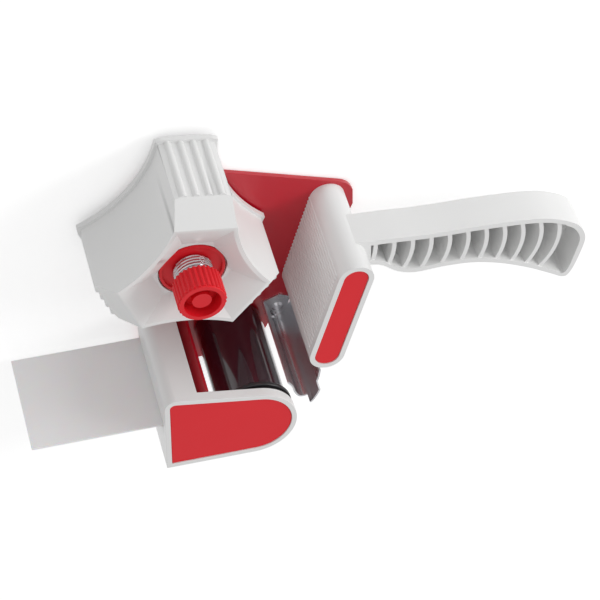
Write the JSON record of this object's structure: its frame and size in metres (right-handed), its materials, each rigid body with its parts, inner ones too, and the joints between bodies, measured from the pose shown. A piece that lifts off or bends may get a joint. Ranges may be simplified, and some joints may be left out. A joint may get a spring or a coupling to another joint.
{
  "type": "hand-held packing tape dispenser",
  "caption": "Hand-held packing tape dispenser with a braked three-lobed hub, pressure roller, wiper flap, toothed cutter and ribbed grip on a bent steel side plate.",
  "frame": {"origin": "hub axis on the side plate's outer face", "axes": "+Z along the hub axis to the free end, +X towards the grip, -X along the wiper flap"},
  "size_m": [0.2392, 0.1405, 0.0581],
  "materials": {
    "red_paint": "glossy red enamel on sheet steel",
    "red_plastic": "satin moulded red plastic",
    "white_plastic": "fine satin moulded white plastic",
    "flap_plastic": "flexible milky sheet",
    "bush_plastic": "plain acetal",
    "black_plastic": "moulded black plastic",
    "roller_gloss": "polished dark sleeve",
    "bright_steel": "bright zinc plate",
    "cutter_steel": "polished stamped steel"
  },
  "bodies": {
    "frame": {"side_plate": "red_paint", "hub_spindle": "red_plastic", "hub_thrust_washer": "bush_plastic", "tension_spring": "bright_steel", "roller_axle": "bright_steel", "axle_washer": "bright_steel", "axle_clip": "bright_steel", "front_guard": "white_plastic", "front_guard_insert": "red_plastic", "guard_screws": "bright_steel", "blade": "cutter_steel", "blade_rivets": "bright_steel", "handle": "white_plastic", "head_insert": "red_plastic", "handle_screws": "bright_steel"},
    "hub": {"hub": "white_plastic", "brake_cup": "red_plastic"},
    "thrust": {"thrust_washer": "bright_steel"},
    "knob": {"tension_knob": "red_plastic"},
    "roller": {"roller_core": "black_plastic", "roller_sleeve": "roller_gloss", "roller_bush_lower": "bush_plastic", "roller_bush_upper": "bush_plastic"},
    "flap": {"wiper_flap": "flap_plastic"}
  },
  "joints": [
    {"name": "hub_spin", "type": "hinge", "parent": "frame", "child": "hub", "pos_m": [0, 0, 0.02], "axis": [0, 0, 1], "continuous": true},
    {"name": "roller_spin", "type": "hinge", "parent": "frame", "child": "roller", "pos_m": [0.022, -0.08, 0.02], "axis": [0, 0, 1], "continuous": true},
    {"name": "knob_travel", "type": "slide", "parent": "frame", "child": "thrust", "axis": [0, 0, 1], "range_m": [-0.002, 0.001], "deforming": ["tension_spring"]},
    {"name": "knob_turn", "type": "hinge", "parent": "thrust", "child": "knob", "pos_m": [0, 0, 0.05], "axis": [0, 0, 1], "range_deg": [-580, 290]},
    {"name": "flap_flex", "type": "hinge", "parent": "frame", "child": "flap", "pos_m": [-0.0144, -0.079, 0.02], "axis": [0, 0, 1], "range_deg": [-22, 22], "stiffness_Nm_per_rad": 0.05}
  ],
  "couplings": [
    {"joint": "knob_turn", "follows": "knob_travel", "rad_per_m": 5026.6}
  ]
}
